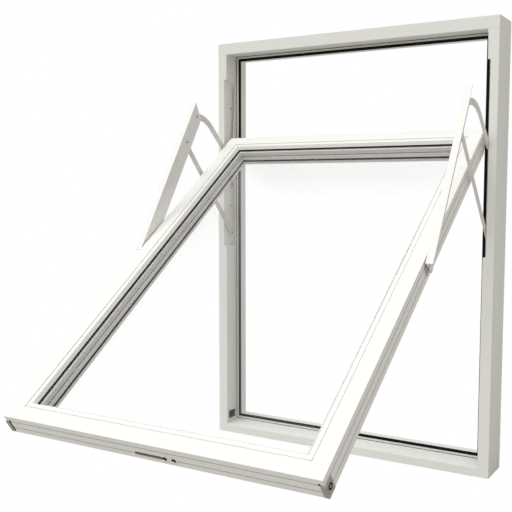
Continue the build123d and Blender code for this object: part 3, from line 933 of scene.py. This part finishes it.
@dataclass
class Fittings:
    """Lock, corner cups and handle.

    A screw or plug is given as its radius and height, and the painted shade ring in a cup's hollow as
    its outer radius, inner radius and height. The slot's and the slide's round ends are shares of their
    widths. A ring of the grip is its place as a share of the grip's length, then its shares of the
    rose's width and of the grip's depth.
    """

    window: Window
    cup_sheet: float = 3.0
    cup_up: float = 11.0
    cup_back: float = 28.0
    cup_rim: Triple = (7.4, 3.4, 0.2)
    cup_plug: Point = (2.8, 0.2)
    foot_shadow_line: Triple = (1.6, 28.0, 0.4)
    foot_width: float = 9.0
    foot_back: float = 31.0
    foot_screw: Point = (2.4, 1.0)
    foot_screw_inwards: float = 1.5
    foot_screw_beyond: float = 3.0
    slot_length: float = 70.0
    slot_width: float = 8.0
    slot_sheet: float = 0.25
    slot_round: float = 0.49
    slot_middle: float = -3.0
    slot_back: float = 34.0
    slide_margin: float = 2.6
    slide_sheet: float = 0.6
    slide_round: float = 0.45
    slide_edge: float = 0.2
    stud_places: tuple[float, float] = (37.0, 59.0)
    stud_radius: float = 4.4
    stud_height: float = 3.4
    stud_edge: float = 0.8
    rim_width: float = 23.0
    handle_across: float = 25.0
    handle_up: float = 34.0
    handle_back: float = 62.0
    handle_turn: float = 90.0
    handle_crease: float = 40.0
    rose: Triple = (22.0, 34.0, 5.0)
    rose_corner: float = 5.0
    rose_edge: float = 1.2
    neck_radius: float = 6.8
    neck_end: float = 24.0
    neck_sunk: float = 2.0
    grip_length: float = 105.0
    grip_depth: float = 12.0
    grip_rings: tuple[Triple, ...] = ((0, 0.4, 0.6), (0.03, 0.58, 0.9), (0.11, 0.64, 1), (0.5, 0.55, 0.85),
                                      (0.92, 0.55, 0.85), (0.985, 0.35, 0.5))

    def build(self) -> None:
        """Dresses the CAD fittings and adds their details."""
        self.window.dress(SASH_COAT, "lock_case")
        self.window.dress(ZINC, *[f"corner_piece_{side.word}" for side in Side])
        self.lock()
        for side in Side:
            self.corner_cup(side)
        self.handle()

    def lock(self) -> None:
        """The long slot of the lock as a thin black sheet of painted shade, its slide and its dark studs, in
        the sash's lower edge.
        """
        place = self.window.edge_place(self.slot_middle, self.slot_back)
        # Painted shade: a thin black sheet fills the slot's outline and shows round the slide as the slot's
        # shade
        slot = slab((self.slot_length, self.slot_width, self.slot_sheet), self.slot_round * self.slot_width)
        Piece().add(slot).finish("lock_slot_shadow", place, Body.SASH, BLACK_OXIDE_AND_SHADE, Slot.DARK)
        length, width = self.slot_length - self.slide_margin, self.slot_width - self.slide_margin
        slide = slab((length, width, self.slide_sheet), self.slide_round * width, self.slide_edge)
        Piece().add(slide).finish("lock_slide", place, Body.SASH, SLIDE_STEEL, Slot.DARK)
        radius, height = self.stud_radius, self.stud_height
        section = [(0, 0), (radius, 0), (radius, height - self.stud_edge),
                   (radius - self.stud_edge, height), (0, height)]
        studs = Piece()
        for across in self.stud_places:
            studs.add(lathe(section), (across - self.slot_middle, 0, 0))
        studs.finish("lock_studs", place, Body.SASH, BLACK_OXIDE_AND_SHADE, Slot.DARK)

    def corner_cup(self, side: Side) -> None:
        """Painted shade in a lower corner cup's hollow round its bright plug, and a painted shadow line and
        screw under it.

        Args:
            side: Left or right.
        """
        place = self.window.sash_side_place(side, self.cup_sheet, self.cup_up, self.cup_back)
        # Painted shade: a black ring stands for the shade in the cup's hollow, round the bright zinc plug
        ring_shade = Piece().add(washer(*self.cup_rim))
        ring_shade.finish(f"cup_rim_{side.word}", place, Body.SASH, BLACK_OXIDE_AND_SHADE, Slot.DARK)
        plug = Piece().add(turned(Turned.RIVET, *self.cup_plug))
        plug.finish(f"cup_plug_{side.word}", place, Body.SASH, ZINC, Slot.ZINC)
        # Painted shadow: a thin black strip on the lower edge beside the corner piece's foot, with a black
        # oxide screw beyond it
        foot = self.window.edge_place(side.value * (self.window.sash_half - self.foot_width), self.foot_back)
        shadow_and_screw = Piece().add(slab(self.foot_shadow_line))
        beyond = self.foot_shadow_line[1] / 2 + self.foot_screw_beyond
        shadow_and_screw.add(turned(Turned.SCREW, *self.foot_screw), (-self.foot_screw_inwards * side.value, beyond, 0))
        shadow_and_screw.finish(f"corner_screw_{side.word}", foot, Body.SASH, BLACK_OXIDE_AND_SHADE, Slot.DARK)

    def handle(self) -> None:
        """The room side's handle, rounded where the CAD one is square."""
        place = self.window.room_place(self.handle_across, 0, self.handle_back)
        width, height, _ = self.rose
        rose = slab(self.rose, self.rose_corner, self.rose_edge)
        body = Piece().add(rose, (0, self.rim_width + height / 2, 0))
        neck = turned(Turned.PEG, self.neck_radius, self.neck_end + self.neck_sunk)
        body.add(neck, (0, self.handle_up, 0))
        rings = []
        for along, wide, deep in self.grip_rings:
            middle = (0.0, along * self.grip_length - self.neck_radius, self.neck_end + self.grip_depth / 2)
            rings.append((middle, wide * width / 2, deep * self.grip_depth / 2))
        body.add(swept_bar(rings), (0, self.handle_up, 0), self.handle_turn)
        body.finish("room_handle", place, Body.SASH, HANDLE_COAT, Slot.HANDLE, ["window_handle"],
                    self.handle_crease)


@dataclass
class Studio:
    """White surround, soft light from above and the photograph's viewing angle.

    The lens and the sensor are in millimetres, and the camera's place and the floor in metres.
    """

    camera_place: Triple = (0.9993, -2.1918, 0.7644)
    yaw: float = 31.266
    pitch: float = -5.143
    lens: float = 58.19
    sensor: float = 36.0
    shift: Point = (0.0039, 0.0133)
    view_transform: str = "Standard"
    ambient: str = "#BFBDB9"
    sun_from: Triple = (-0.15, -0.33, 0.58)
    sun_spread: float = 70.0
    sun_strength: float = 2.15
    floor_reach: float = 30.0

    def build(self) -> None:
        """Adds world, floor, light and camera."""
        scene = bpy.context.scene
        scene.view_settings.view_transform = self.view_transform
        self.world(scene)
        self.floor(scene)
        self.sky_light(scene)
        self.camera(scene)

    def world(self, scene: bpy.types.Scene) -> None:
        """A white surround that lights the window more softly than it looks.

        Args:
            scene: The scene that it surrounds.
        """
        world = bpy.data.worlds.new("studio")
        scene.world = world
        tree = cleared(world)
        shown = either_ray(tree, "Is Camera Ray", "Is Singular Ray")
        tone = add_node(tree, "ShaderNodeMix", {
            "Factor": shown, MIX_FIRST: linear(self.ambient), MIX_SECOND: linear(WHITE)}, data_type="RGBA")
        light = add_node(tree, "ShaderNodeBackground", {"Color": tone.outputs[MIX_RESULT], "Strength": 1.0})
        add_node(tree, "ShaderNodeOutputWorld", {"Surface": light.outputs[0]})

    def floor(self, scene: bpy.types.Scene) -> None:
        """A wide floor that melts into the white surround and still sends light up.

        Args:
            scene: The scene that it goes into.
        """
        bm = bmesh.new()
        bmesh.ops.create_grid(bm, x_segments=1, y_segments=1, size=self.floor_reach)
        mesh = bpy.data.meshes.new("floor")
        bm.to_mesh(mesh)
        bm.free()
        mesh.materials.append(SWEEP.material())
        floor = bpy.data.objects.new("floor", mesh)
        scene.collection.objects.link(floor)

    def sky_light(self, scene: bpy.types.Scene) -> None:
        """A very soft light from above and a little from the left front.

        Args:
            scene: The scene that it goes into.
        """
        light = bpy.data.lights.new("sky_light", "SUN")
        light.energy = self.sun_strength
        light.angle = math.radians(self.sun_spread)
        lamp = bpy.data.objects.new("sky_light", light)
        # Its disc would show as a white patch in the panes
        lamp.visible_glossy = False
        lamp.visible_transmission = False
        lamp.rotation_euler = Vector(self.sun_from).to_track_quat("Z", "Y").to_euler()
        scene.collection.objects.link(lamp)

    def camera(self, scene: bpy.types.Scene) -> None:
        """Adds the camera where the photograph was taken from.

        Args:
            scene: The scene that it goes into.
        """
        camera = bpy.data.cameras.new("camera")
        camera.sensor_width = self.sensor
        camera.lens = self.lens
        camera.shift_x, camera.shift_y = self.shift
        holder = bpy.data.objects.new("camera", camera)
        holder.location = self.camera_place
        holder.rotation_euler = Euler((math.radians(90 + self.pitch), 0.0, math.radians(self.yaw)))
        scene.collection.objects.link(holder)
        scene.camera = holder


def main() -> None:
    """Builds the window's sub-assemblies in order."""
    logging.basicConfig(level=logging.INFO, format="%(message)s")
    window = Window(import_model())
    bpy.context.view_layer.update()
    Studio().build()
    for assembly in (OuterFrame(window), SashBody(window), Linkage(window), Fittings(window)):
        assembly.build()
        log.info("%s is built", type(assembly).__name__)


if __name__ == "__main__":
    main()
